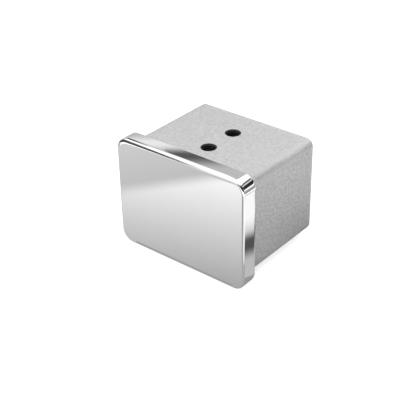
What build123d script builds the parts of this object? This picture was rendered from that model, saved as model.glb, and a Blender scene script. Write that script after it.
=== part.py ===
from build123d import *
import os

# Cast end cap for a rectangular slotted rail that caps a glass balustrade, in millimetres
# The origin is the centre of the rail's section, on the plane where the rail's cut end seats
# +X runs across the rail, +Y into the rail along its length, and +Z up

# Rail that the fitting closes
rail_width = 50.0
rail_height = 38.0
rail_wall = 2.0
rail_corner_radius = 4.2

# Slack between the plug and the inside of the rail, on each side and further in the corners
plug_clearance = 0.3
corner_relief = 0.4

# Polished face plate, flush with the outside of the rail
plate_thickness = 5.8
face_edge_radius = 0.6
seat_edge_radius = 0.25

# Plug: a web at the top with a leg down each side of the rail's glass channel
web_thickness = 11.0
leg_width = 8.4
slot_roof_radius = 1.5
slot_mouth_radius = 0.8
plug_end_radius = 0.6

# Tapped M5 holes for the locking screws, in a line along the middle of the web
screw_hole_radius = 2.5
screw_hole_lead_in = 0.1
screw_count = 2
screw_to_plate = 9.1
screw_spacing = 12.2
screw_to_end = 12.1

# Sizes that follow from the ones above
plug_width = rail_width - 2 * (rail_wall + plug_clearance)
plug_height = rail_height - 2 * (rail_wall + plug_clearance)
plug_corner_radius = rail_corner_radius - rail_wall + corner_relief
plug_length = screw_to_plate + (screw_count - 1) * screw_spacing + screw_to_end
plug_top = plug_height / 2
slot_width = plug_width - 2 * leg_width
slot_height = plug_height - web_thickness
root_radius = plug_clearance


def cross_faces(shape):
    """Flat faces that lie across the rail's length, ordered from the plate towards the plug's end."""
    return shape.faces().filter_by(Axis.Y).sort_by(Axis.Y)


def face_plate():
    """Rounded rectangular plate in front of the rail's end, with softened edges all round."""
    outline = Plane.XZ * RectangleRounded(rail_width, rail_height, rail_corner_radius)
    plate = extrude(outline, amount=plate_thickness)
    plate = fillet(cross_faces(plate).first.edges(), face_edge_radius)
    return fillet(cross_faces(plate).last.edges(), seat_edge_radius)


def slot_profile():
    """Section of the slot for the glass channel: round in the roof, flared into the legs' ends."""
    opening = RectangleRounded(slot_width, 2 * slot_height, slot_roof_radius)
    below = Pos(0, -slot_height) * Rectangle(slot_width, 2 * slot_height)
    return Pos(0, -plug_top) * (opening - below)


def plug_section():
    """Section across the plug: a rounded block less the slot, with the slot's mouth rounded."""
    section = RectangleRounded(plug_width, plug_height, plug_corner_radius) - slot_profile()
    mouth = section.vertices().group_by(Axis.Y)[0].sort_by(lambda corner: abs(corner.X))[:2]
    return fillet(mouth, slot_mouth_radius)


def screw_hole():
    """Cutter for one through hole, standing down from the web's top, with both rims opened a little."""
    wide = screw_hole_radius + screw_hole_lead_in
    half_profile = Polyline(
        (0, 0),
        (wide, 0),
        (screw_hole_radius, -screw_hole_lead_in),
        (screw_hole_radius, screw_hole_lead_in - web_thickness),
        (wide, -web_thickness),
        (0, -web_thickness),
        close=True,
    )
    return revolve(Plane.XZ * make_face(half_profile), Axis.Z)


def plug():
    """Plug that slides into the rail: the slotted section with a rounded end and the screw holes."""
    body = extrude(Plane.XZ * plug_section(), amount=-plug_length)
    body = fillet(cross_faces(body).last.edges(), plug_end_radius)
    for index in range(screw_count):
        along = screw_to_plate + index * screw_spacing
        body -= Pos(0, along, plug_top) * screw_hole()
    return body


def end_cap():
    """Whole casting: plate and plug in one, with a root fillet small enough for the rail to seat."""
    casting = face_plate() + plug()
    seat = cross_faces(casting)[1]
    return fillet(seat.inner_wires().edges(), root_radius)


os.makedirs("parts", exist_ok=True)
export_step(end_cap(), "parts/end_cap.step")
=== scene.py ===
"""Looks of a cast end cap for the slotted rail on top of a glass balustrade.

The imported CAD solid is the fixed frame. One closed mesh stands for it: a face plate polished to a
mirror, a plug left as cast and blasted, and two tapped holes through the plug's web. Lengths are in
metres in the CAD's own frame: X across the rail, Y into the rail, Z up. Only the studio's cards are
sized in millimetres.
"""

import logging
import math
from dataclasses import dataclass, field
from enum import Enum

import bpy
import numpy as np
from mathutils import Matrix, Vector, noise
from mathutils.geometry import delaunay_2d_cdt

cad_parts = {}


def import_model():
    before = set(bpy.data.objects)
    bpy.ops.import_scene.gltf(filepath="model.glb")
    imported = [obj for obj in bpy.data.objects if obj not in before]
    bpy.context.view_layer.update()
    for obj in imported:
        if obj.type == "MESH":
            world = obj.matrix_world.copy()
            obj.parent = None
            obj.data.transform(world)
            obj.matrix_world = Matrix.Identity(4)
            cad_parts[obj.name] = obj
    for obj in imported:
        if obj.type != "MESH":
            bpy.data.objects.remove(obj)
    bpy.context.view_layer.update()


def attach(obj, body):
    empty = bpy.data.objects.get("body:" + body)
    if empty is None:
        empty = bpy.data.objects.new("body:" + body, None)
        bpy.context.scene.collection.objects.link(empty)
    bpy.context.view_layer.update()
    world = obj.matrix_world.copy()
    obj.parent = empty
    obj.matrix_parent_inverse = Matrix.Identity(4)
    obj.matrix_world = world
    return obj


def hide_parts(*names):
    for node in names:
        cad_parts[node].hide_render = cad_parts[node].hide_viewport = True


log = logging.getLogger("end_cap")

MM = 0.001
WELD_DISTANCE = 1e-7
SHARP_ANGLE = math.radians(38.0)
FLAT_TOLERANCE = 1e-6
RUB_ATTRIBUTE = "rub"
METAL_IOR = 1.45
BRIGHTEST = 1.4

Pair = tuple[float, float]
Triple = tuple[float, float, float]


class Region(Enum):
    """Finish that a face of the casting carries; the value is its material slot."""

    MIRROR = 0
    CAST = 1
    THREAD = 2


class Stance(Enum):
    """How a card is set up in the studio."""

    UPRIGHT = "upright"
    LYING = "lying"


@dataclass
class Outline:
    """Closed line across the rail, with the direction that points out of the metal at each point.

    Attributes:
        points: x and z of each point, one row each.
        normals: x and z of the outward direction at each point.
    """

    points: np.ndarray
    normals: np.ndarray

    def grown(self, distance: float | np.ndarray) -> np.ndarray:
        """Points moved out of the metal by a distance, or into it where that is negative."""
        return self.points + np.reshape(distance, (-1, 1)) * self.normals

    def ring(self, distance: float | np.ndarray, along: float | np.ndarray) -> np.ndarray:
        """Grown points placed along the rail.

        Args:
            distance: How far the points move out of the metal, for all or for each.
            along: Y of the points.

        Returns:
            One row of x, y and z for each point.
        """
        flat = self.grown(distance)
        return np.column_stack([flat[:, 0], np.broadcast_to(along, len(flat)), flat[:, 1]])

    def directions(self, turn: float | np.ndarray) -> np.ndarray:
        """Directions between the front, the outward direction and the back.

        Args:
            turn: Angle from the front, 0 facing the front, a quarter turn facing outward.

        Returns:
            One unit direction for each point.
        """
        out = np.sin(turn)
        front = np.broadcast_to(-np.cos(turn), len(self.normals))
        return np.column_stack([self.normals[:, 0] * out, front, self.normals[:, 1] * out])


class OutlinePen:
    """Draws a closed outline from straight runs and arcs that meet smoothly."""

    def __init__(self, run_step: float, arc_step: float) -> None:
        """Starts an empty outline.

        Args:
            run_step: Spacing of points along straight runs.
            arc_step: Spacing of points round arcs.
        """
        self.run_step = run_step
        self.arc_step = arc_step
        self.points: list[Pair] = []
        self.normals: list[Pair] = []

    def run(self, start: Pair, end: Pair, normal: Pair) -> None:
        """Adds a straight run, without its last point.

        Args:
            start: First point.
            end: Point that the next run or arc starts from.
            normal: Direction out of the metal along the run.
        """
        count = max(1, round(math.dist(start, end) / self.run_step))
        for index in range(count):
            part = index / count
            self.points.append(
                (start[0] + part * (end[0] - start[0]), start[1] + part * (end[1] - start[1]))
            )
            self.normals.append(normal)

    def arc(self, centre: Pair, radius: float, start: float, end: float, hollow: bool = False) -> None:
        """Adds an arc, without its last point.

        Args:
            centre: Centre of the arc.
            radius: Radius of the arc.
            start: Angle of the first point, in degrees from X towards Z.
            end: Angle of the last point.
            hollow: True for an inside corner, where the metal lies outside the arc.
        """
        sweep = math.radians(end - start)
        count = max(4, math.ceil(abs(sweep) * radius / self.arc_step))
        side = -1.0 if hollow else 1.0
        for index in range(count):
            angle = math.radians(start) + sweep * index / count
            across, up = math.cos(angle), math.sin(angle)
            self.points.append((centre[0] + radius * across, centre[1] + radius * up))
            self.normals.append((side * across, side * up))

    def round_block(self, right: float, top: float, radius: float) -> None:
        """Adds a block's outline from its lower right corner, by the top, to its lower left corner.

        Args:
            right: Half of the block's width.
            top: Half of its height.
            radius: Radius of its corners.
        """
        across, up = right - radius, top - radius
        self.arc((across, -up), radius, -90, 0)
        self.run((right, -up), (right, up), (1.0, 0.0))
        self.arc((across, up), radius, 0, 90)
        self.run((across, top), (-across, top), (0.0, 1.0))
        self.arc((-across, up), radius, 90, 180)
        self.run((-right, up), (-right, -up), (-1.0, 0.0))
        self.arc((-across, -up), radius, 180, 270)

    def outline(self) -> Outline:
        """The finished outline."""
        return Outline(np.array(self.points), np.array(self.normals))


def place_object(name: str, data: bpy.types.ID) -> bpy.types.Object:
    """Sets a new object up in the scene."""
    placed = bpy.data.objects.new(name, data)
    bpy.context.scene.collection.objects.link(placed)
    return placed


class Shell:
    """Collects patches of faces and writes them as one closed mesh.

    Each patch brings its own points. Points that coincide are joined at the end, and a face is turned
    over where it looks against the directions given for its points.
    """

    def __init__(self) -> None:
        """Starts an empty shell."""
        self.points: list[np.ndarray] = []
        self.directions: list[np.ndarray] = []
        self.exact: list[np.ndarray] = []
        self.faces: list[tuple[int, ...]] = []
        self.regions: list[int] = []
        self.corners: list[np.ndarray] = []
        self.count = 0

    def add(
        self,
        points: np.ndarray,
        directions: np.ndarray,
        faces: list[tuple[int, ...]],
        region: Region,
        exact: bool = False,
    ) -> None:
        """Adds one patch.

        Args:
            points: One row of x, y and z for each point.
            directions: Outward direction at each point.
            faces: Point numbers of each face, within the patch.
            region: Finish of the patch.
            exact: True where the directions are also the shading normals.
        """
        self.points.append(points)
        self.directions.append(directions)
        self.exact.append(np.full(len(points), exact))
        self.faces.extend(tuple(self.count + index for index in face) for face in faces)
        self.regions.extend([region.value] * len(faces))
        self.count += len(points)

    def add_rings(
        self,
        rings: list[np.ndarray],
        directions: list[np.ndarray],
        region: Region,
        exact: bool = False,
        skip: set[tuple[int, int]] | None = None,
    ) -> None:
        """Adds a band of four-sided faces between closed rings with the same number of points.

        Args:
            rings: Points of each ring, in order along the band.
            directions: Outward directions of each ring.
            region: Finish of the band.
            exact: True where the directions are also the shading normals.
            skip: Faces left out, as ring number and point number.
        """
        around = len(rings[0])
        faces = []
        for ring in range(len(rings) - 1):
            for index in range(around):
                if skip and (ring, index) in skip:
                    continue
                low, high = ring * around, (ring + 1) * around
                beside = (index + 1) % around
                faces.append((low + index, low + beside, high + beside, high + index))
        self.add(np.vstack(rings), np.vstack(directions), faces, region, exact)

    def add_flat(
        self, borders: list[np.ndarray], direction: Triple, region: Region, exact: bool = False
    ) -> None:
        """Adds a flat patch inside the first border and outside the others.

        Args:
            borders: Points of each border, all on one plane square to an axis.
            direction: Outward direction of the patch.
            region: Finish of the patch.
            exact: True where the direction is also the shading normal.
        """
        axes = [axis for axis in range(3) if abs(direction[axis]) < 0.5]
        points = np.vstack(borders)
        edges: list[Pair] = []
        first = 0
        for border in borders:
            edges.extend((first + i, first + (i + 1) % len(border)) for i in range(len(border)))
            first += len(border)
        flat = points[:, axes] / MM
        result = delaunay_2d_cdt([Vector(pair) for pair in flat], edges, [], 0, FLAT_TOLERANCE)
        own = [originals[0] for originals in result[3]]
        faces = []
        for triangle in result[2]:
            face = tuple(own[index] for index in triangle)
            if self.is_inside(flat[list(face)].mean(axis=0), [border[:, axes] / MM for border in borders]):
                faces.append(face)
        self.add(points, np.tile(direction, (len(points), 1)), faces, region, exact)

    @staticmethod
    def is_inside(point: np.ndarray, borders: list[np.ndarray]) -> bool:
        """Whether a point is inside an odd number of borders.

        Args:
            point: The two coordinates of the point.
            borders: Points of each border, one row each.

        Returns:
            True for a point on the patch.
        """
        crossings = 0
        for border in borders:
            after = np.roll(border, -1, axis=0)
            spans = (border[:, 1] > point[1]) != (after[:, 1] > point[1])
            here, there = border[spans], after[spans]
            part = (point[1] - here[:, 1]) / (there[:, 1] - here[:, 1])
            crossings += int(np.sum(here[:, 0] + part * (there[:, 0] - here[:, 0]) > point[0]))
        return crossings % 2 == 1

    def write(self, name: str) -> tuple[bpy.types.Object, np.ndarray]:
        """Joins the patches into one mesh object.

        Args:
            name: Name of the object.

        Returns:
            The object, and the mean outward direction at each of its points.
        """
        points = np.vstack(self.points)
        directions = np.vstack(self.directions)
        exact = np.concatenate(self.exact)
        _, first, own = np.unique(
            np.round(points / WELD_DISTANCE).astype(np.int64), axis=0, return_index=True, return_inverse=True
        )
        own = own.reshape(-1)
        faces, regions = [], []
        for face, region in zip(self.faces, self.regions):
            joined = [int(own[index]) for index in face]
            if len(set(joined)) < len(joined):
                kept = [i for i in range(len(joined)) if joined[i] != joined[i - 1]]
                face, joined = tuple(face[i] for i in kept), [joined[i] for i in kept]
            if len(joined) < 3:
                continue
            ring = points[list(face)]
            facing = np.cross(ring, np.roll(ring, -1, axis=0)).sum(axis=0)
            if facing @ directions[list(face)].sum(axis=0) < 0:
                face, joined = face[::-1], joined[::-1]
            faces.append(joined)
            regions.append(region)
            self.corners.extend(directions[i] if exact[i] else np.zeros(3) for i in face)
        mesh = bpy.data.meshes.new(name)
        mesh.from_pydata(points[first].tolist(), [], faces)
        mesh.polygons.foreach_set("material_index", regions)
        mesh.polygons.foreach_set("use_smooth", [True] * len(faces))
        mean = np.zeros((len(first), 3))
        np.add.at(mean, own, directions)
        mean /= np.maximum(np.linalg.norm(mean, axis=1, keepdims=True), 1e-9)
        return place_object(name, mesh), mean

    def shade(self, mesh: bpy.types.Mesh) -> None:
        """Marks sharp edges and sets the exact shading normals, once the points are in place."""
        mesh.set_sharp_from_angle(angle=SHARP_ANGLE)
        mesh.normals_split_custom_set([tuple(corner) for corner in self.corners])
        mesh.update()


@dataclass
class FacePlate:
    """Plate on the front of the casting, flush with the outside of the rail.

    Attributes:
        width: Across the rail.
        height: Up the rail.
        thickness: Along the rail.
        corner_radius: Of the outline.
        face_edge_radius: Of the round between face and side.
        seat_edge_radius: Of the round between side and seat.
        roll_width: Band inside the face's edge where polishing has rolled it over.
        roll_turn: How far that band turns, in degrees.
        top_roll_turn: How far it turns along the top edge, which the wheel has met first.
        crown_width: Band on the side, behind the front round, where polishing has rolled it over.
        crown_turn: How far that band turns on the top side, in degrees. The other sides stay flat.
        seat_roll_width: Band on the side, before the seat's round, that is rolled over as well.
        seat_roll_turn: How far that band turns, in degrees.
        top_seat_roll_turn: How far it turns on the top side.
        run_step: Spacing of points along the outline's straight runs.
        arc_step: Spacing of points round its corners.
        roll_steps: Steps across the band inside the face's edge.
        face_edge_steps: Steps round the front round.
        crown_steps: Steps across the band behind it.
        side_steps: Steps across the flat of the side.
        seat_roll_steps: Steps across the band before the seat's round.
        seat_edge_steps: Steps round the seat's round.
    """

    width: float = 50.0 * MM
    height: float = 38.0 * MM
    thickness: float = 5.8 * MM
    corner_radius: float = 4.2 * MM
    face_edge_radius: float = 0.6 * MM
    seat_edge_radius: float = 0.25 * MM
    roll_width: float = 1.2 * MM
    roll_turn: float = 3.0
    top_roll_turn: float = 5.5
    crown_width: float = 1.1 * MM
    crown_turn: float = 6.5
    seat_roll_width: float = 0.6 * MM
    seat_roll_turn: float = 14.0
    top_seat_roll_turn: float = 0.0
    run_step: float = 1.5 * MM
    arc_step: float = 0.28 * MM
    roll_steps: int = 8
    face_edge_steps: int = 14
    crown_steps: int = 10
    side_steps: int = 4
    seat_roll_steps: int = 5
    seat_edge_steps: int = 6

    def outline(self) -> Outline:
        """Outer line of the plate, with round corners."""
        pen = OutlinePen(self.run_step, self.arc_step)
        right, top = self.width / 2, self.height / 2
        across = right - self.corner_radius
        pen.run((-across, -top), (across, -top), (0.0, -1.0))
        pen.round_block(right, top, self.corner_radius)
        return pen.outline()

    @staticmethod
    def bend(start: float, end: float, length: float, count: int) -> list[Pair]:
        """Even bend of the edge's section.

        Args:
            start: Angle from facing the front where it starts.
            end: Angle where it ends.
            length: Length along the section.
            count: Number of steps.

        Returns:
            For each step the angle at its end and its length.
        """
        return [(start + (end - start) * i / count, length / count) for i in range(1, count + 1)]

    @staticmethod
    def advance(bends: list[Pair]) -> tuple[np.ndarray, np.ndarray, np.ndarray]:
        """Works out how far each step of the edge's section goes.

        Args:
            bends: For each step the angle at its end and its length.

        Returns:
            The angles at the ends of all steps, from 0 on, and how far each step goes inward and back.
        """
        turns = np.array([0.0] + [turn for turn, _ in bends])
        mean = (turns[1:] + turns[:-1]) / 2
        lengths = np.array([length for _, length in bends])
        return turns, lengths * np.cos(mean), lengths * np.sin(mean)

    def stations(self, roll_turn: float, crown_turn: float, seat_turn: float) -> np.ndarray:
        """Section of the plate's edge from the flat of the face to the seat.

        Args:
            roll_turn: How far the band inside the face's edge turns, in degrees.
            crown_turn: How far the band behind the front round turns, in degrees.
            seat_turn: How far the band before the seat's round turns, in degrees.

        Returns:
            For each station its distance inside the outline, its place along the rail and how far it
            has turned from facing the front.
        """
        roll, crown = math.radians(roll_turn), math.radians(90.0 - crown_turn)
        side, seat = math.pi / 2, math.radians(90.0 + seat_turn)
        count = self.roll_steps
        front = [(roll * (i / count) ** 2, self.roll_width / count) for i in range(1, count + 1)]
        front += self.bend(roll, crown, (crown - roll) * self.face_edge_radius, self.face_edge_steps)
        front += self.bend(crown, side, self.crown_width, self.crown_steps)
        rear = self.bend(side, seat, self.seat_roll_width, self.seat_roll_steps)
        rear += self.bend(seat, math.pi, (math.pi - seat) * self.seat_edge_radius, self.seat_edge_steps)
        spare = self.thickness - float(np.sum(self.advance(front + rear)[2]))
        bends = front + [(side, spare / self.side_steps)] * self.side_steps + rear
        turns, inward, back = self.advance(bends)
        inset = np.concatenate([[0.0], np.cumsum(inward)])
        along = np.concatenate([[0.0], np.cumsum(back)])
        return np.column_stack([inset[len(front)] - inset, along - self.thickness, turns])

    def build(self, shell: Shell) -> np.ndarray:
        """Adds the face, its rounded edge and the side.

        Args:
            shell: Shell that takes the faces.

        Returns:
            Points of the ring where the side meets the seat.
        """
        outline = self.outline()
        upward = np.clip(outline.normals[:, 1], 0.0, 1.0) ** 2
        flat = self.stations(self.roll_turn, 0.0, self.seat_roll_turn)
        crowned = self.stations(self.top_roll_turn, self.crown_turn, self.top_seat_roll_turn)
        rings, directions = [], []
        for plain, rolled in zip(flat, crowned):
            inset, along, turn = (p + (r - p) * upward for p, r in zip(plain, rolled))
            rings.append(outline.ring(-inset, along))
            directions.append(outline.directions(turn))
        shell.add_rings(rings, directions, Region.MIRROR, exact=True)
        shell.add_flat([rings[0]], (0.0, -1.0, 0.0), Region.MIRROR, exact=True)
        return rings[-1]


@dataclass
class TappedHole:
    """Hole through the plug's web, tapped for a locking screw.

    Attributes:
        along: Distance of its axis behind the seat.
        root_radius: Radius at the thread's roots, which is the CAD's wall.
        depth: Depth of the thread.
        pitch: Height of one turn.
        rim_radius: Radius where the lead-in opens onto the web.
        root_share: Flat at a thread's root, to each side of its middle, as a share of the pitch.
        crest_share: Distance from the root's middle to the crest's flat, as a share of the pitch.
        around: Points in one ring.
        rings_a_turn: Rings in one turn of the thread.
    """

    along: float
    root_radius: float = 2.5 * MM
    depth: float = 0.433 * MM
    pitch: float = 0.8 * MM
    rim_radius: float = 2.6 * MM
    root_share: float = 1 / 16
    crest_share: float = 3 / 8
    around: int = 56
    rings_a_turn: int = 10

    def rim(self, height: float) -> np.ndarray:
        """Points of the hole's edge at one height."""
        return self.ring(height, 0.0)

    def ring(self, height: float, below_rim: float) -> np.ndarray:
        """Points round the wall at one height.

        Args:
            height: Z of the ring.
            below_rim: Distance from the nearer rim.

        Returns:
            One row of x, y and z for each point.
        """
        angles = 2 * math.pi * np.arange(self.around) / self.around
        phase = (height / self.pitch - angles / (2 * math.pi)) % 1.0
        from_root = np.abs(phase - 0.5)
        cut = np.clip((from_root - self.root_share) / (self.crest_share - self.root_share), 0.0, 1.0)
        radius = np.maximum(self.root_radius - self.depth * cut, self.rim_radius - below_rim)
        return np.column_stack(
            [radius * np.cos(angles), self.along + radius * np.sin(angles), np.full(self.around, height)]
        )

    def build(self, shell: Shell, top: float, bottom: float) -> None:
        """Adds the threaded wall.

        Args:
            shell: Shell that takes the faces.
            top: Z of the web's top.
            bottom: Z of the web's underside.
        """
        count = round((top - bottom) / self.pitch * self.rings_a_turn)
        heights = np.linspace(top, bottom, count + 1)
        rings = [self.ring(z, min(top - z, z - bottom)) for z in heights]
        inward = []
        for ring in rings:
            direction = np.array([0.0, self.along, 0.0]) - ring
            direction[:, 2] = 0.0
            inward.append(direction / np.linalg.norm(direction, axis=1, keepdims=True))
        shell.add_rings(rings, inward, Region.THREAD)


@dataclass
class Plug:
    """Slotted plug behind the plate, which slides into the rail.

    Attributes:
        width: Across the rail.
        height: Up the rail.
        length: Along the rail.
        corner_radius: Of the outline's outer corners.
        web_thickness: Of the web above the slot.
        leg_width: Of the leg on each side of the slot.
        roof_radius: Of the slot's inside corners.
        mouth_radius: Of the edges where the slot opens downward.
        end_radius: Of the round at the plug's far end.
        root_radius: Of the fillet between plug and seat.
        holes: Tapped holes through the web.
        skin_step: Spacing of points on the cast skin.
        arc_step: Spacing of points round the section's corners.
        round_steps: Steps round the end's round and the root fillet.
        hole_margin: Skin round a hole's rim that is filled up to it.
        skin_depth: How deep the cast skin is pitted.
        fine_size: Waves of the fine unevenness in a millimetre.
        broad_size: Waves of the broad unevenness in a millimetre.
        broad_offset: Place in the noise that the broad unevenness is taken from.
        fine_share: Share of the depth that the fine unevenness sways.
        broad_share: Share of the depth that the broad unevenness sways.
        rub_width: Distance from an edge over which the rubbing fades.
    """

    width: float = 45.4 * MM
    height: float = 33.4 * MM
    length: float = 33.4 * MM
    corner_radius: float = 2.6 * MM
    web_thickness: float = 11.0 * MM
    leg_width: float = 8.4 * MM
    roof_radius: float = 1.5 * MM
    mouth_radius: float = 0.8 * MM
    end_radius: float = 0.6 * MM
    root_radius: float = 0.3 * MM
    holes: list[TappedHole] = field(
        default_factory=lambda: [TappedHole(along=9.1 * MM), TappedHole(along=21.3 * MM)]
    )
    skin_step: float = 0.6 * MM
    arc_step: float = 0.35 * MM
    round_steps: int = 5
    hole_margin: float = 0.4 * MM
    skin_depth: float = 0.022 * MM
    fine_size: float = 0.85
    broad_size: float = 0.28
    broad_offset: Triple = (7.0, 3.0, 5.0)
    fine_share: float = 0.45
    broad_share: float = 0.35
    rub_width: float = 1.3 * MM

    @property
    def top(self) -> float:
        """Z of the web's top."""
        return self.height / 2

    @property
    def roof(self) -> float:
        """Z of the slot's roof."""
        return self.height / 2 - self.web_thickness

    @property
    def slot_half(self) -> float:
        """Half of the slot's width."""
        return self.width / 2 - self.leg_width

    def outline(self) -> Outline:
        """Line round the section, which is a block with a slot open below."""
        pen = OutlinePen(self.skin_step, self.arc_step)
        across = self.width / 2 - self.corner_radius
        slot, mouth, inner = self.slot_half, self.mouth_radius, self.roof_radius
        pen.run((slot + mouth, -self.top), (across, -self.top), (0.0, -1.0))
        pen.round_block(self.width / 2, self.top, self.corner_radius)
        pen.run((-across, -self.top), (-slot - mouth, -self.top), (0.0, -1.0))
        pen.arc((-slot - mouth, mouth - self.top), mouth, 270, 360)
        pen.run((-slot, mouth - self.top), (-slot, self.roof - inner), (1.0, 0.0))
        pen.arc((inner - slot, self.roof - inner), inner, 180, 90, hollow=True)
        pen.run((inner - slot, self.roof), (slot - inner, self.roof), (0.0, -1.0))
        pen.arc((slot - inner, self.roof - inner), inner, 90, 0, hollow=True)
        pen.run((slot, self.roof - inner), (slot, mouth - self.top), (-1.0, 0.0))
        pen.arc((slot + mouth, mouth - self.top), mouth, 180, 270)
        return pen.outline()

    def build(self, shell: Shell, seat_edge: np.ndarray) -> None:
        """Adds the seat, the root fillet, the plug's skin, its end and the holes.

        Args:
            shell: Shell that takes the faces.
            seat_edge: Points where the plate's side meets the seat.
        """
        outline = self.outline()
        root = self.build_root(shell, outline)
        shell.add_flat([seat_edge, root], (0.0, 1.0, 0.0), Region.CAST)
        self.build_skin(shell, outline)
        self.build_end(shell, outline)
        for hole in self.holes:
            hole.build(shell, self.top, self.roof)

    def build_root(self, shell: Shell, outline: Outline) -> np.ndarray:
        """Adds the fillet between seat and plug.

        Args:
            shell: Shell that takes the faces.
            outline: Section of the plug.

        Returns:
            Points where the fillet meets the seat.
        """
        rings, directions = [], []
        for index in range(self.round_steps + 1):
            turn = math.pi / 2 * (1 - index / self.round_steps)
            grow = self.root_radius * (1 - math.cos(turn))
            rings.append(outline.ring(grow, self.root_radius * (1 - math.sin(turn))))
            directions.append(outline.directions(math.pi / 2 + turn))
        shell.add_rings(rings, directions, Region.CAST)
        return rings[0]

    def build_skin(self, shell: Shell, outline: Outline) -> None:
        """Adds the plug's long faces, with room left round each hole and filled up to its rim.

        Args:
            shell: Shell that takes the faces.
            outline: Section of the plug.
        """
        start, end = self.root_radius, self.length - self.end_radius
        count = round((end - start) / self.skin_step)
        stations = np.linspace(start, end, count + 1)
        rings = [outline.ring(0.0, y) for y in stations]
        facing = outline.directions(math.pi / 2)
        skip: set[tuple[int, int]] = set()
        for hole in self.holes:
            for height in (self.top, self.roof):
                skip |= self.open_round(shell, outline, stations, hole, height)
        shell.add_rings(rings, [facing] * len(rings), Region.CAST, skip=skip)

    def open_round(
        self, shell: Shell, outline: Outline, stations: np.ndarray, hole: TappedHole, height: float
    ) -> set[tuple[int, int]]:
        """Fills the square of skin round one hole's rim.

        Args:
            shell: Shell that takes the faces.
            outline: Section of the plug.
            stations: Places of the skin's rings along the rail.
            hole: The hole.
            height: Z of the face that the hole opens onto.

        Returns:
            Faces of the skin that the square takes the place of.
        """
        reach = hole.rim_radius + self.hole_margin
        on_face = np.abs(outline.points[:, 1] - height) < WELD_DISTANCE
        flat = on_face & (np.abs(outline.normals[:, 0]) < FLAT_TOLERANCE)
        columns = np.flatnonzero(flat & (np.abs(outline.points[:, 0]) < reach + self.skin_step))
        rows = np.flatnonzero(np.abs(stations - hole.along) < reach + self.skin_step)
        first, last = columns[0], columns[-1]
        border = [(x, rows[0]) for x in range(first, last)] + [(last, y) for y in rows[:-1]]
        border += [(x, rows[-1]) for x in range(last, first, -1)] + [(first, y) for y in rows[:0:-1]]
        points = np.array([[outline.points[x, 0], stations[y], outline.points[x, 1]] for x, y in border])
        direction = (0.0, 0.0, 1.0) if height == self.top else (0.0, 0.0, -1.0)
        shell.add_flat([points, hole.rim(height)], direction, Region.CAST)
        return {(y, x) for y in rows[:-1] for x in range(first, last)}

    def build_end(self, shell: Shell, outline: Outline) -> None:
        """Adds the rounded far end.

        Args:
            shell: Shell that takes the faces.
            outline: Section of the plug.
        """
        rings, directions = [], []
        for index in range(self.round_steps + 1):
            turn = math.pi / 2 * index / self.round_steps
            inset = self.end_radius * (1 - math.cos(turn))
            rings.append(outline.ring(-inset, self.length - self.end_radius * (1 - math.sin(turn))))
            directions.append(outline.directions(math.pi / 2 + turn))
        shell.add_rings(rings, directions, Region.CAST)
        shell.add_flat([rings[-1]], (0.0, 1.0, 0.0), Region.CAST)

    def roughen(self, points: np.ndarray, directions: np.ndarray, cast: np.ndarray) -> np.ndarray:
        """Sinks the points of the cast skin a little, as blasted metal lies.

        Args:
            points: All points of the casting.
            directions: Outward direction at each point.
            cast: True for points that belong to cast faces only.

        Returns:
            The points after the move.
        """
        moved = points.copy()
        for index in np.flatnonzero(cast):
            place = Vector(points[index]) / MM
            fine = noise.noise(place * self.fine_size)
            broad = noise.noise(place * self.broad_size + Vector(self.broad_offset))
            share = 0.5 + self.fine_share * fine + self.broad_share * broad
            sink = self.skin_depth * min(1.0, max(0.0, share))
            moved[index] -= directions[index] * sink
        return moved

    def rub(self, points: np.ndarray) -> np.ndarray:
        """How near each point is to an outer edge of the plug, where handling has worn it and the cast skin
        paints a highlight.

        Args:
            points: All points of the casting.

        Returns:
            A value from 0, away from edges, to 1, on an edge.
        """
        gaps = np.column_stack(
            [
                self.width / 2 - np.abs(points[:, 0]),
                self.top - np.abs(points[:, 2]),
                self.length - points[:, 1],
            ]
        )
        nearest = np.sort(np.abs(gaps), axis=1)[:, 1]
        return np.exp(-((nearest / self.rub_width) ** 2))


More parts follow.
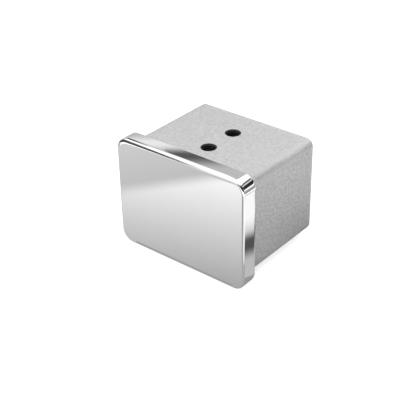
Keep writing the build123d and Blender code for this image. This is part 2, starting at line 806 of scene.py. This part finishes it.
class NodeBench:
    """Short hand for laying out the nodes of one material, world or group."""

    def __init__(self, tree: bpy.types.NodeTree) -> None:
        """Takes a node tree and clears it."""
        self.tree = tree
        tree.nodes.clear()

    def add(
        self, kind: str, inputs: dict[str | int, object] | None = None, **settings: object
    ) -> bpy.types.Node:
        """Adds a node.

        Args:
            kind: Type of the node.
            inputs: Socket or value for each input that doesn't keep its own value.
            **settings: Settings of the node itself.

        Returns:
            The node.
        """
        node = self.tree.nodes.new(kind)
        for name, value in settings.items():
            setattr(node, name, value)
        for name, value in (inputs or {}).items():
            if isinstance(value, bpy.types.NodeSocket):
                self.tree.links.new(value, node.inputs[name])
            else:
                node.inputs[name].default_value = value
        return node

    def math(
        self, operation: str, first: object, second: object = 0.5, clamp: bool = False
    ) -> bpy.types.NodeSocket:
        """Works out one value from two.

        Args:
            operation: What is done with them.
            first: Socket or number.
            second: Socket or number.
            clamp: True to keep the result from 0 to 1.

        Returns:
            Socket with the result.
        """
        inputs = {0: first, 1: second}
        return self.add("ShaderNodeMath", inputs, operation=operation, use_clamp=clamp).outputs[0]

    def spread(self, value: bpy.types.NodeSocket, low: float, high: float) -> bpy.types.NodeSocket:
        """Maps a value from 0 to 1 onto the range from low to high."""
        inputs = {"Value": value, "To Min": low, "To Max": high}
        return self.add("ShaderNodeMapRange", inputs).outputs["Result"]

    def mix(
        self, factor: bpy.types.NodeSocket, low: Triple | bpy.types.NodeSocket, high: Triple
    ) -> bpy.types.NodeSocket:
        """Mixes two colours.

        Args:
            factor: Socket from 0 to 1.
            low: Colour at 0, or the socket that gives it.
            high: Colour at 1.

        Returns:
            Socket with the colour.
        """
        below = low if isinstance(low, bpy.types.NodeSocket) else (*low, 1.0)
        inputs = {"Factor": factor, 6: below, 7: (*high, 1.0)}
        return self.add("ShaderNodeMix", inputs, data_type="RGBA").outputs[2]

    def bump(self, height: bpy.types.NodeSocket, strength: float, depth: float) -> bpy.types.NodeSocket:
        """Turns a height into a normal.

        Args:
            height: Socket with the height.
            strength: Share of the full effect.
            depth: Depth of the relief in metres.

        Returns:
            Socket with the normal.
        """
        inputs = {"Height": height, "Strength": strength, "Distance": depth}
        return self.add("ShaderNodeBump", inputs).outputs["Normal"]

    def place(self) -> bpy.types.NodeSocket:
        """Coordinates of the metal itself."""
        return self.add("ShaderNodeTexCoord").outputs["Object"]

    def finish(self, surface: bpy.types.NodeSocket, output: str = "ShaderNodeOutputMaterial") -> None:
        """Joins a surface to the output."""
        self.add(output, {"Surface": surface})


def start_material(name: str) -> tuple[bpy.types.Material, NodeBench]:
    """Makes an empty material.

    Args:
        name: Name of the material.

    Returns:
        The material and its bench.
    """
    material = bpy.data.materials.new(name)
    material.use_nodes = True
    return material, NodeBench(material.node_tree)


def start_group(name: str, takes: dict[str, str], gives: dict[str, str]) -> tuple[NodeBench, bpy.types.Node]:
    """Makes an empty node group.

    Args:
        name: Name of the group.
        takes: Kind of each input.
        gives: Kind of each output.

    Returns:
        The group's bench and its input node.
    """
    tree = bpy.data.node_groups.new(name, "ShaderNodeTree")
    for direction, sockets in (("INPUT", takes), ("OUTPUT", gives)):
        for socket, kind in sockets.items():
            tree.interface.new_socket(socket, in_out=direction, socket_type=f"NodeSocket{kind}")
    bench = NodeBench(tree)
    return bench, bench.add("NodeGroupInput")


class SharedEffects:
    """Node groups that several materials use, each built once."""

    MOTTLE_RELIEF = 1.6
    LEAST_RUBBED = 0.35
    MOST_RUBBED = 1.25

    def __init__(self) -> None:
        """Builds the groups."""
        self.grain_group = self.build_grain()
        self.rubbing_group = self.build_rubbing()
        self.soft_edge_group = self.build_soft_edge()

    def build_grain(self) -> bpy.types.NodeTree:
        """Builds the grain in two scales, fine and mottled, in the metal's own coordinates.

        Returns:
            Group with the inputs Fine Scale and Mottle Scale and the outputs Grain, Mottle and Height.
        """
        takes = {"Fine Scale": "Float", "Mottle Scale": "Float"}
        gives = {"Grain": "Float", "Mottle": "Float", "Height": "Float"}
        bench, entry = start_group("metal grain", takes, gives)
        place = bench.place()
        fine_noise = {"Vector": place, "Scale": entry.outputs["Fine Scale"], "Detail": 3.0, "Roughness": 0.62}
        mottle_noise = {
            "Vector": place,
            "Scale": entry.outputs["Mottle Scale"],
            "Detail": 4.0,
            "Roughness": 0.7,
            "Distortion": 0.4,
        }
        fine = bench.add("ShaderNodeTexNoise", fine_noise).outputs["Fac"]
        mottle = bench.add("ShaderNodeTexNoise", mottle_noise).outputs["Fac"]
        height = bench.math("ADD", fine, bench.math("MULTIPLY", mottle, self.MOTTLE_RELIEF))
        bench.add("NodeGroupOutput", {"Grain": fine, "Mottle": mottle, "Height": height})
        return bench.tree

    def build_rubbing(self) -> bpy.types.NodeTree:
        """Builds the broken mask along the edges that handling has worn, which the cast skin also uses for a
        painted highlight.

        Returns:
            Group with the inputs Patch Scale and Reach and the output Mask.
        """
        takes = {"Patch Scale": "Float", "Reach": "Float"}
        bench, entry = start_group("rubbed edges", takes, {"Mask": "Float"})
        edge = bench.add("ShaderNodeAttribute", attribute_name=RUB_ATTRIBUTE).outputs["Fac"]
        patch_noise = {"Vector": bench.place(), "Scale": entry.outputs["Patch Scale"], "Detail": 3.0}
        patches = bench.add("ShaderNodeTexNoise", patch_noise).outputs["Fac"]
        broken = bench.math("MULTIPLY", edge, bench.spread(patches, self.LEAST_RUBBED, self.MOST_RUBBED))
        mask = bench.math("MULTIPLY", broken, entry.outputs["Reach"], clamp=True)
        bench.add("NodeGroupOutput", {"Mask": mask})
        return bench.tree

    def build_soft_edge(self) -> bpy.types.NodeTree:
        """Builds the thinning out of a card towards one of its edges.

        Returns:
            Group with the inputs Surface, Place, Edge and Full and the output Surface. The card is gone
            where Place is at Edge and whole from Full on.
        """
        takes = {"Surface": "Shader", "Place": "Float", "Edge": "Float", "Full": "Float"}
        bench, entry = start_group("soft edge", takes, {"Surface": "Shader"})
        band = {
            "Value": entry.outputs["Place"],
            "From Min": entry.outputs["Edge"],
            "From Max": entry.outputs["Full"],
        }
        cover = bench.add("ShaderNodeMapRange", band, interpolation_type="SMOOTHSTEP").outputs["Result"]
        clear = bench.add("ShaderNodeBsdfTransparent").outputs["BSDF"]
        mixed = bench.add("ShaderNodeMixShader", {0: cover, 1: clear, 2: entry.outputs["Surface"]})
        bench.add("NodeGroupOutput", {"Surface": mixed.outputs[0]})
        return bench.tree

    def grain(self, bench: NodeBench, mottle_scale: float, fine_scale: float = 0.0) -> bpy.types.Node:
        """Places the grain in a material, without a fine scale where only the mottle shows."""
        inputs = {"Mottle Scale": mottle_scale, "Fine Scale": fine_scale}
        return bench.add("ShaderNodeGroup", inputs, node_tree=self.grain_group)

    def rubbing(self, bench: NodeBench, patch_scale: float, reach: float) -> bpy.types.NodeSocket:
        """Places the rubbed edges' mask in a material."""
        inputs = {"Patch Scale": patch_scale, "Reach": reach}
        return bench.add("ShaderNodeGroup", inputs, node_tree=self.rubbing_group).outputs["Mask"]


def metal(
    bench: NodeBench,
    colour: bpy.types.NodeSocket,
    roughness: bpy.types.NodeSocket,
    normal: bpy.types.NodeSocket,
) -> None:
    """Adds a metallic surface.

    Args:
        bench: Bench of the material.
        colour: Socket with the metal's colour.
        roughness: Socket with its roughness.
        normal: Socket with its normal.
    """
    surface = {"Base Color": colour}
    surface |= {"Metallic": 1.0, "IOR": METAL_IOR, "Roughness": roughness, "Normal": normal}
    bench.finish(bench.add("ShaderNodeBsdfPrincipled", surface).outputs["BSDF"])


@dataclass(frozen=True)
class MirrorPolish:
    """Stainless steel polished to a mirror, with a faint haze and a slow wave left by the wheel.

    Attributes:
        bright: Tone of the clearest polish.
        dull: Tone of the haziest polish.
        gloss: Roughness of the clearest polish.
        haze: Roughness of the haziest polish.
        rubbed_haze: Roughness that rubbing adds.
        mottle_scale: Scale of the haze.
        patch_scale: Scale of the rubbed patches.
        rub_reach: Share of the rubbing that shows.
        wave_scale: Scale of the wheel's wave.
        wave_share: Share of the wave's full effect.
        wave_depth: Depth of the wave.
    """

    bright: Triple = (0.838, 0.835, 0.841)
    dull: Triple = (0.808, 0.805, 0.812)
    gloss: float = 0.025
    haze: float = 0.045
    rubbed_haze: float = 0.03
    mottle_scale: float = 70.0
    patch_scale: float = 300.0
    rub_reach: float = 0.6
    wave_scale: float = 45.0
    wave_share: float = 0.5
    wave_depth: float = 0.004 * MM

    def build(self, effects: SharedEffects) -> bpy.types.Material:
        """Makes the material.

        Args:
            effects: Shared node groups.

        Returns:
            The material.
        """
        material, bench = start_material("mirror polish")
        mottle = effects.grain(bench, self.mottle_scale).outputs["Mottle"]
        mask = effects.rubbing(bench, self.patch_scale, self.rub_reach)
        haze = bench.spread(mottle, self.gloss, self.haze)
        worn = bench.math("ADD", haze, bench.math("MULTIPLY", mask, self.rubbed_haze))
        wave_noise = {"Vector": bench.place(), "Scale": self.wave_scale, "Detail": 0.0}
        wave = bench.add("ShaderNodeTexNoise", wave_noise).outputs["Fac"]
        normal = bench.bump(wave, self.wave_share, self.wave_depth)
        metal(bench, bench.mix(mottle, self.bright, self.dull), worn, normal)
        return material


@dataclass(frozen=True)
class CastSkin:
    """Stainless steel as cast and blasted: matte, with a fine grain and a soft mottle, the mottle painted
    stronger on the sides as shading of the relief.

    Attributes:
        pale: Palest tone of the mottle.
        dark: Darkest tone of the mottle.
        rubbed_and_highlight: Tone of the worn edges, lighter than the mottle's middle, so that it is wear and
            a painted highlight.
        dark_from: Value of the noise that gives the darkest tone.
        pale_from: Value of the noise that gives the palest tone.
        level_painted_shade_share: Share of the mottle's contrast that faces turned up or down show; the sides
            keep all of it as painted shading of the relief.
        roughest: Roughness where the mottle is low.
        smoothest: Roughness where it is high.
        rubbed_gloss: Roughness that rubbing takes away.
        fine_scale: Scale of the grain.
        mottle_scale: Scale of the mottle.
        patch_scale: Scale of the rubbed patches.
        rub_reach: Share of the wear and its painted highlight that shows.
        relief_share: Share of the grain's full relief.
        relief: Depth of the grain.
    """

    pale: Triple = (0.80, 0.797, 0.80)
    dark: Triple = (0.495, 0.493, 0.496)
    rubbed_and_highlight: Triple = (0.77, 0.767, 0.77)
    dark_from: float = 0.38
    pale_from: float = 0.62
    level_painted_shade_share: float = 0.6
    roughest: float = 0.66
    smoothest: float = 0.48
    rubbed_gloss: float = 0.12
    fine_scale: float = 3200.0
    mottle_scale: float = 1100.0
    patch_scale: float = 700.0
    rub_reach: float = 1.0
    relief_share: float = 0.8
    relief: float = 0.20 * MM

    def build(self, effects: SharedEffects) -> bpy.types.Material:
        """Makes the material.

        Args:
            effects: Shared node groups.

        Returns:
            The material.
        """
        material, bench = start_material("cast skin")
        grain = effects.grain(bench, self.mottle_scale, self.fine_scale)
        mask = effects.rubbing(bench, self.patch_scale, self.rub_reach)
        fine, mottle = (bench.math("MULTIPLY", grain.outputs[name], 0.5) for name in ("Grain", "Mottle"))
        both = bench.math("ADD", fine, mottle)
        tones = {"Value": both, "From Min": self.dark_from, "From Max": self.pale_from}
        contrast = bench.add("ShaderNodeMapRange", tones).outputs["Result"]
        # The mottle's contrast is painted stronger on the sides than on top and bottom, as shading of the
        # relief.
        normal = bench.add("ShaderNodeNewGeometry").outputs["Normal"]
        upward = bench.add("ShaderNodeSeparateXYZ", {0: normal}).outputs["Z"]
        share = bench.spread(bench.math("ABSOLUTE", upward), 1.0, self.level_painted_shade_share)
        tone = bench.math("ADD", bench.math("MULTIPLY", bench.math("SUBTRACT", contrast, 0.5), share), 0.5)
        # Edges take a lighter tone: wear, and a painted highlight along the plug's edges.
        skin = bench.mix(mask, bench.mix(tone, self.dark, self.pale), self.rubbed_and_highlight)
        rough = bench.spread(grain.outputs["Mottle"], self.roughest, self.smoothest)
        smoothed = bench.math("SUBTRACT", rough, bench.math("MULTIPLY", mask, self.rubbed_gloss))
        metal(bench, skin, smoothed, bench.bump(grain.outputs["Height"], self.relief_share, self.relief))
        return material


@dataclass(frozen=True)
class ThreadCut:
    """Tapped steel inside the holes, painted near black as the shade that fills them, in random patches.

    Attributes:
        painted_shade_darkest: Darkest tone of the painted shade.
        painted_shade_lightest: Lightest tone of the painted shade.
        smoothest: Roughness where the grain is low.
        roughest: Roughness where it is high.
        fine_scale: Scale of the grain.
        mottle_scale: Scale of the patches in the painted shade.
        relief_share: Share of the grain's full relief.
        relief: Depth of the grain.
    """

    painted_shade_darkest: Triple = (0.016, 0.016, 0.017)
    painted_shade_lightest: Triple = (0.055, 0.055, 0.056)
    smoothest: float = 0.34
    roughest: float = 0.52
    fine_scale: float = 3500.0
    mottle_scale: float = 900.0
    relief_share: float = 0.5
    relief: float = 0.01 * MM

    def build(self, effects: SharedEffects) -> bpy.types.Material:
        """Makes the material.

        Args:
            effects: Shared node groups.

        Returns:
            The material.
        """
        material, bench = start_material("tapped thread")
        grain = effects.grain(bench, self.mottle_scale, self.fine_scale)
        # Near-black tones are painted shade for the inside of the holes, mixed in random patches.
        tone = bench.mix(grain.outputs["Mottle"], self.painted_shade_darkest, self.painted_shade_lightest)
        rough = bench.spread(grain.outputs["Grain"], self.smoothest, self.roughest)
        metal(bench, tone, rough, bench.bump(grain.outputs["Height"], self.relief_share, self.relief))
        return material


@dataclass
class EndCap:
    """The whole casting: plate, plug and tapped holes in one closed mesh."""

    name: str = "end_cap_casting"
    plate: FacePlate = field(default_factory=FacePlate)
    plug: Plug = field(default_factory=Plug)

    def build(self) -> bpy.types.Object:
        """Makes the casting's mesh.

        Returns:
            The casting's object, without materials.
        """
        shell = Shell()
        seat_edge = self.plate.build(shell)
        self.plug.build(shell, seat_edge)
        piece, directions = shell.write(self.name)
        self.roughen(piece.data, directions)
        shell.shade(piece.data)
        return piece

    def roughen(self, mesh: bpy.types.Mesh, directions: np.ndarray) -> None:
        """Gives the cast faces their relief and stores where the edges are rubbed.

        Args:
            mesh: Mesh of the casting.
            directions: Outward direction at each point.
        """
        points = np.array([tuple(point.co) for point in mesh.vertices])
        cast = np.ones(len(points), dtype=bool)
        for face in mesh.polygons:
            if face.material_index != Region.CAST.value:
                cast[list(face.vertices)] = False
        points = self.plug.roughen(points, directions, cast)
        mesh.vertices.foreach_set("co", points.ravel())
        values = mesh.attributes.new(RUB_ATTRIBUTE, "FLOAT", "POINT")
        values.data.foreach_set("value", self.plug.rub(points).astype(np.float32))
        mesh.update()

    def dress(self, piece: bpy.types.Object, effects: SharedEffects) -> None:
        """Gives the casting its finishes and ties it to the CAD frame.

        Args:
            piece: The casting's object.
            effects: Shared node groups.
        """
        finishes = {Region.MIRROR: MirrorPolish(), Region.CAST: CastSkin(), Region.THREAD: ThreadCut()}
        for region in Region:
            piece.data.materials.append(finishes[region].build(effects))
        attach(piece, "root")
        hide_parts("end_cap")


class Tone(Enum):
    """Brightness of a card, where the white surroundings are 1."""

    GLOWING = 1.3
    BRIGHT = 1.15
    WHITE = 1.0
    PALE = 0.75
    GREY = 0.6
    MID = 0.4
    SHADE = 0.25
    DARK = 0.1
    BLACK = 0.03


@dataclass(frozen=True)
class Soft:
    """Width of the bands in which a card thins out towards its edges, in millimetres."""

    near: float = 0.0
    far: float = 0.0
    left: float = 0.0
    right: float = 0.0


@dataclass(frozen=True)
class Card:
    """Flat card that stands or lies in the studio and shows only in the metal, in millimetres.

    Attributes:
        name: Name of the card.
        stance: Whether it stands or lies.
        azimuth: Direction from the origin to the card, in degrees from +Y towards +X.
        forward: Distance in that direction, to a standing card or to a lying card's near edge.
        side: Distance of its middle to the right of that direction.
        height: Height of a standing card's lower edge, or of a lying card, above the floor.
        width: Size to the side.
        reach: Size upward or away.
        tone: Its brightness.
        far_tone: Brightness at its far or upper edge, where it is shaded from one end to the other.
        soft: Its soft edges.
        near_share: Width of the near or lower edge, as a share of the full width.
    """

    name: str
    stance: Stance
    azimuth: float
    forward: float
    side: float
    height: float
    width: float
    reach: float
    tone: Tone
    far_tone: Tone | None = None
    soft: Soft = Soft()
    near_share: float = 1.0

    def build(self, floor_height: float, effects: SharedEffects) -> None:
        """Makes the card.

        Args:
            floor_height: Z of the floor.
            effects: Shared node groups.
        """
        turn = math.radians(self.azimuth)
        away = Vector((math.sin(turn), math.cos(turn), 0.0))
        right = Vector((math.cos(turn), -math.sin(turn), 0.0))
        onward = away if self.stance is Stance.LYING else Vector((0.0, 0.0, 1.0))
        start = (away * self.forward + right * self.side) * MM
        start.z = floor_height + self.height * MM
        sides = [(0.0, 0.0), (1.0, 0.0), (1.0, 1.0), (0.0, 1.0)]
        corners = []
        for a, b in sides:
            across = self.width * (a - 0.5) * (b + self.near_share * (1 - b))
            corners.append(start + (right * across + onward * self.reach * b) * MM)
        mesh = bpy.data.meshes.new(self.name)
        mesh.from_pydata([tuple(corner) for corner in corners], [], [(0, 1, 2, 3)])
        places = mesh.uv_layers.new(name="place")
        for corner, place in zip(places.data, sides):
            corner.uv = place
        card = place_object(self.name, mesh)
        mesh.materials.append(self.surface(effects))
        for rays in ("camera", "diffuse", "transmission", "shadow"):
            setattr(card, f"visible_{rays}", False)

    def surface(self, effects: SharedEffects) -> bpy.types.Material:
        """Makes the card's material.

        Args:
            effects: Shared node groups.

        Returns:
            The material.
        """
        material, bench = start_material(self.name)
        across = bench.add("ShaderNodeTexCoord").outputs["UV"]
        place = bench.add("ShaderNodeSeparateXYZ", {0: across}).outputs
        near, far = ((tone.value / BRIGHTEST,) * 3 for tone in (self.tone, self.far_tone or self.tone))
        glow = {"Color": bench.mix(place["Y"], near, far), "Strength": BRIGHTEST}
        surface = bench.add("ShaderNodeEmission", glow).outputs["Emission"]
        bands = [
            (self.soft.near, self.reach, "Y", 0.0),
            (self.soft.far, self.reach, "Y", 1.0),
            (self.soft.left, self.width, "X", 0.0),
            (self.soft.right, self.width, "X", 1.0),
        ]
        for band, size, axis, edge in bands:
            if band > 0.0:
                full = abs(edge - band / size)
                inputs = {"Surface": surface, "Place": place[axis], "Edge": edge, "Full": full}
                node = bench.add("ShaderNodeGroup", inputs, node_tree=effects.soft_edge_group)
                surface = node.outputs["Surface"]
        bench.finish(surface)
        return material


@dataclass
class Studio:
    """Pale floor, white surroundings, reflector cards and the camera."""

    floor_height: float = -19.0 * MM
    floor_size: float = 6.0
    floor_tone: float = 0.92
    floor_lift: float = 0.58
    floor_roughness: float = 0.9
    camera_place: Triple = (0.170101, -0.197996, 0.158175)
    azimuth: float = 39.512
    elevation: float = 31.370
    roll: float = -0.958
    lens: float = 84.88

    def build(self, effects: SharedEffects) -> None:
        """Makes everything round the object.

        Args:
            effects: Shared node groups.
        """
        self.build_world()
        self.build_floor()
        for card in self.cards():
            card.build(self.floor_height, effects)
        self.build_camera()

    def build_world(self) -> None:
        """Gives the scene even white surroundings."""
        world = bpy.data.worlds.new("white studio")
        world.use_nodes = True
        bench = NodeBench(world.node_tree)
        glow = bench.add("ShaderNodeBackground", {"Color": (1.0, 1.0, 1.0, 1.0), "Strength": 1.0})
        bench.finish(glow.outputs[0], "ShaderNodeOutputWorld")
        bpy.context.scene.world = world
        bpy.context.scene.view_settings.view_transform = "Standard"

    def build_floor(self) -> None:
        """Makes the pale floor, which keeps the object's shadow."""
        half = self.floor_size / 2
        mesh = bpy.data.meshes.new("floor")
        corners = [(-half, -half), (half, -half), (half, half), (-half, half)]
        mesh.from_pydata([(x, y, self.floor_height) for x, y in corners], [], [(0, 1, 2, 3)])
        floor = place_object("floor", mesh)
        material, bench = start_material("pale floor")
        rays = bench.add("ShaderNodeLightPath").outputs
        direct = bench.math("MAXIMUM", rays["Is Camera Ray"], rays["Is Glossy Ray"])
        direct = bench.math("MAXIMUM", direct, rays["Is Transmission Ray"])
        surface = {
            "Base Color": (self.floor_tone,) * 3 + (1.0,),
            "Roughness": self.floor_roughness,
            "Specular IOR Level": 0.0,
            "Emission Strength": 1.0,
            "Emission Color": bench.mix(direct, (0.0, 0.0, 0.0), (self.floor_lift,) * 3),
        }
        bench.finish(bench.add("ShaderNodeBsdfPrincipled", surface).outputs["BSDF"])
        mesh.materials.append(material)

    def cards(self) -> list[Card]:
        """Cards that the polished plate and the cast skin show, none of them set up yet."""
        return [
            *self.cards_before(),
            *self.cards_behind(),
            *self.cards_beside(),
            *self.cards_by_the_corner(),
            Card("soft box above", Stance.LYING, -39.5, -360, 0, 189, 560, 605, Tone.GLOWING),
            Card("dark side of the camera", Stance.UPRIGHT, 125, 150, 0, 41, 520, 228, Tone.BLACK),
        ]

    @staticmethod
    def cards_before() -> list[Card]:
        """Cards before the plate's face."""
        return [
            # Paper reflector before the face, painted darker near the plate as the plate's shade on it.
            Card("paper before the face with painted shade", Stance.LYING, -162, -20, 10, 0.03, 100, 95, Tone.SHADE,
                 Tone.GLOWING),
            Card("pale sheet beyond the paper", Stance.LYING, -127, 49, -15, 0.05, 110, 42, Tone.GREY,
                 Tone.PALE, Soft(near=11)),
            Card("grey strip left of the paper", Stance.LYING, -140.5, -12, 49, 0.04, 50, 107, Tone.MID),
            Card("dark wedge before the face", Stance.LYING, 179, 6.04, -25.1, 0.06, 124, 90, Tone.MID,
                 soft=Soft(far=40, left=30), near_share=0.01),
            # Painted contact shadow along the plate's foot, as a thin grey strip on the floor.
            Card("painted shadow along the foot", Stance.LYING, 180, 6.3, 0, 0.07, 40, 0.8, Tone.MID),
            Card("wall before the face", Stance.UPRIGHT, -140.5, 97, 49, 0, 142, 92, Tone.DARK,
                 soft=Soft(far=12, left=18)),
        ]

    @staticmethod
    def cards_behind() -> list[Card]:
        """Wall behind the plate, with the tapes and sheets on it, a cloth on the floor behind, and painted
        shade on the floor under the plug.
        """
        return [
            Card("grey wall behind", Stance.UPRIGHT, -36, 150, -20, 0, 160, 185, Tone.GREY),
            Card("shaded foot of the wall", Stance.UPRIGHT, -36, 149.8, -20, 0, 160, 66, Tone.MID, Tone.GREY),
            Card("white sheet on the wall", Stance.UPRIGHT, -36, 149.6, -48, 132, 104, 53, Tone.GLOWING,
                 soft=Soft(near=5)),
            Card("pale tape on the wall", Stance.UPRIGHT, -36, 149.4, -45, 109, 100, 9, Tone.WHITE,
                 soft=Soft(near=4, far=4)),
            Card("dark tape on the wall", Stance.UPRIGHT, -36, 149.2, -7, 115.3, 34, 12, Tone.DARK,
                 soft=Soft(near=4, far=7)),
            Card("black sheet left on the wall", Stance.UPRIGHT, -36, 149.0, -70, 122, 56, 18, Tone.BLACK),
            # Painted shade on the floor under the plug, as a black card.
            Card("painted shade under the plug", Stance.LYING, 0, 1, 6.6, 0.04, 33.4, 35, Tone.BLACK),
            Card("dark cloth behind", Stance.LYING, 0, 36, -35, 0.05, 120, 100, Tone.DARK),
        ]

    @staticmethod
    def cards_beside() -> list[Card]:
        """Sheets and a wall to the right of plate and plug, and painted shadow and shade on the floor at
        their feet.
        """
        return [
            Card("shaded sheet beside the plug", Stance.LYING, 70.5, 25, -46, 0.03, 38, 40, Tone.PALE,
                 Tone.MID),
            Card("grey sheet beside the plate", Stance.LYING, 70.5, 28, -7.5, 0.04, 39, 60, Tone.GREY),
            Card("dark band beside the plate", Stance.LYING, 70.5, 35, -7.5, 0.05, 39, 16, Tone.DARK,
                 soft=Soft(near=7, far=6)),
            Card("white sheet beside the plate", Stance.LYING, 70.5, 45, -7.5, 0.06, 39, 30, Tone.BRIGHT,
                 soft=Soft(near=13, far=6)),
            # Painted contact shadow on the floor along the plug's side, as a narrow dark strip.
            Card("painted shadow beside the plug", Stance.LYING, 90, 23.3, -32, 0.06, 58, 2.2, Tone.SHADE),
            # Painted shade on the floor at the plate's right foot, darker towards the plug.
            Card("painted shade at the plate's foot", Stance.LYING, 90, 21, 1.4, 0.07, 8.8, 7, Tone.SHADE, Tone.MID),
            Card("grey wall beside the plug", Stance.UPRIGHT, 50, 120, 0, 0, 240, 62, Tone.SHADE,
                 soft=Soft(far=24)),
            Card("pale sheet right of the plate", Stance.LYING, 129, 23.5, -11.2, 0.02, 50, 60, Tone.WHITE),
        ]

    @staticmethod
    def cards_by_the_corner() -> list[Card]:
        """Dark flags by the plate's upper right corner, one of them with plain tapes across it."""
        upright, foot, left = Stance.UPRIGHT, 26.5, 8.0
        cards = [Card("black flag by the corner", upright, 40, 41, 18, foot, 20, 40.5, Tone.BLACK)]
        tapes = [("grey", 0.0, 7.5, 20.0, Tone.MID), ("white", 8.0, 13.5, 20.0, Tone.BRIGHT),
                 ("pale", 24.5, 29.5, 16.5, Tone.PALE), ("glowing", 34.5, 40.5, 16.5, Tone.GLOWING)]
        for name, low, high, width, tone in tapes:
            title = f"{name} tape by the corner"
            side = left + width / 2
            cards.append(Card(title, upright, 40, 40.9, side, foot + low, width, high - low, tone))
        cards.append(Card("dark flag beside the corner", upright, 65, 60, 14, 55, 42, 47, Tone.BLACK))
        return cards

    def build_camera(self) -> None:
        """Sets the camera at the photograph's angle."""
        turn, lift, roll = (math.radians(a) for a in (self.azimuth, self.elevation, self.roll))
        back = Vector((math.sin(turn) * math.cos(lift), -math.cos(turn) * math.cos(lift), math.sin(lift)))
        right = Vector((math.cos(turn), math.sin(turn), 0.0))
        up = back.cross(right)
        level = Matrix((right, up, back)).transposed()
        data = bpy.data.cameras.new("camera")
        data.lens = self.lens
        data.sensor_width = 36.0
        data.clip_start = 0.01
        data.clip_end = 20.0
        camera = place_object("camera", data)
        rotation = (level @ Matrix.Rotation(roll, 3, "Z")).to_4x4()
        camera.matrix_world = Matrix.Translation(self.camera_place) @ rotation
        bpy.context.scene.camera = camera


def main() -> None:
    """Builds the casting and the studio, and reports each piece."""
    logging.basicConfig(level=logging.INFO, format="%(name)s: %(message)s")
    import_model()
    effects = SharedEffects()
    Studio().build(effects)
    cap = EndCap()
    piece = cap.build()
    cap.dress(piece, effects)
    log.info("%s has %d points and %d faces", piece.name, len(piece.data.vertices), len(piece.data.polygons))


if __name__ == "__main__":
    main()
